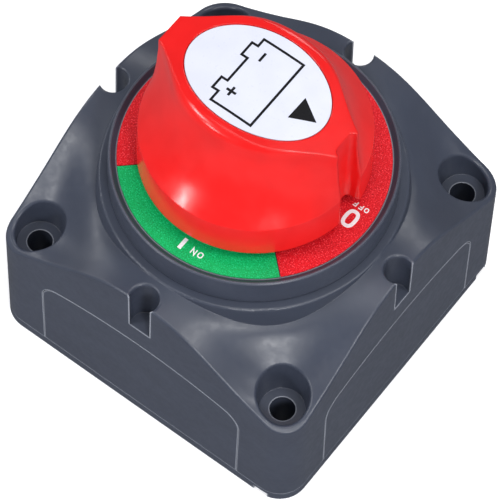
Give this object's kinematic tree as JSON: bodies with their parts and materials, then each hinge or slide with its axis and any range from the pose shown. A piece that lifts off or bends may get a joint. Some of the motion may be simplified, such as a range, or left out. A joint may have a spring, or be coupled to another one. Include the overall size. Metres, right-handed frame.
{
  "type": "battery isolator switch",
  "caption": "Square surface-mount battery isolator with a saddle-shaped dark case, a raised round dial and a large red two-position knob.",
  "frame": {"origin": "centre of the case's underside, on the panel it is bolted to", "axes": "+Z out of the panel along the knob's axis; -Y is the front, where the knob points when on; +X is where it points when off"},
  "size_m": [0.069, 0.069, 0.075],
  "materials": {
    "housing_plastic": "satin moulded, fine grain",
    "knob_plastic": "smooth gloss",
    "label_film": "smooth white film",
    "green_film": "fine sparkle grain",
    "red_film": "fine sparkle grain",
    "black_plastic": "moulded, glass filled",
    "seal_rubber": "soft, dull",
    "contact_metal": "machined, tinned",
    "shaft_steel": "turned",
    "fixing_steel": "zinc plated"
  },
  "bodies": {
    "housing": {"case": "housing_plastic", "base_plate": "housing_plastic", "bezel_ring": "housing_plastic", "dial_label_on": "green_film", "dial_label_off": "red_film", "terminal_block": "black_plastic", "block_gasket": "seal_rubber", "block_screws": "fixing_steel", "terminal_stud_in": "contact_metal", "terminal_stud_out": "contact_metal", "flat_washers": "fixing_steel", "spring_washers": "fixing_steel", "stud_nuts": "fixing_steel"},
    "rotor": {"knob": "knob_plastic", "knob_label": "label_film", "knob_screw": "fixing_steel", "spindle": "shaft_steel", "shaft_seal": "seal_rubber", "retaining_clip": "fixing_steel", "thrust_washer": "fixing_steel", "contact_carrier": "black_plastic", "moving_contact": "contact_metal", "contact_spring": "fixing_steel"},
    "plate_front": {"side_plate_front": "housing_plastic"},
    "plate_right": {"side_plate_right": "housing_plastic"},
    "plate_back": {"side_plate_back": "housing_plastic"},
    "plate_left": {"side_plate_left": "housing_plastic"}
  },
  "joints": [
    {"name": "knob_turn", "type": "hinge", "parent": "housing", "child": "rotor", "pos_m": [0, 0, 0], "axis": [0, 0, 1], "range_deg": [-90, 0]},
    {"name": "plate_front_pull", "type": "slide", "parent": "housing", "child": "plate_front", "axis": [0, -1, 0], "range_m": [0, 0.012]},
    {"name": "plate_right_pull", "type": "slide", "parent": "housing", "child": "plate_right", "axis": [1, 0, 0], "range_m": [0, 0.012]},
    {"name": "plate_back_pull", "type": "slide", "parent": "housing", "child": "plate_back", "axis": [0, 1, 0], "range_m": [0, 0.012]},
    {"name": "plate_left_pull", "type": "slide", "parent": "housing", "child": "plate_left", "axis": [-1, 0, 0], "range_m": [0, 0.012]}
  ]
}
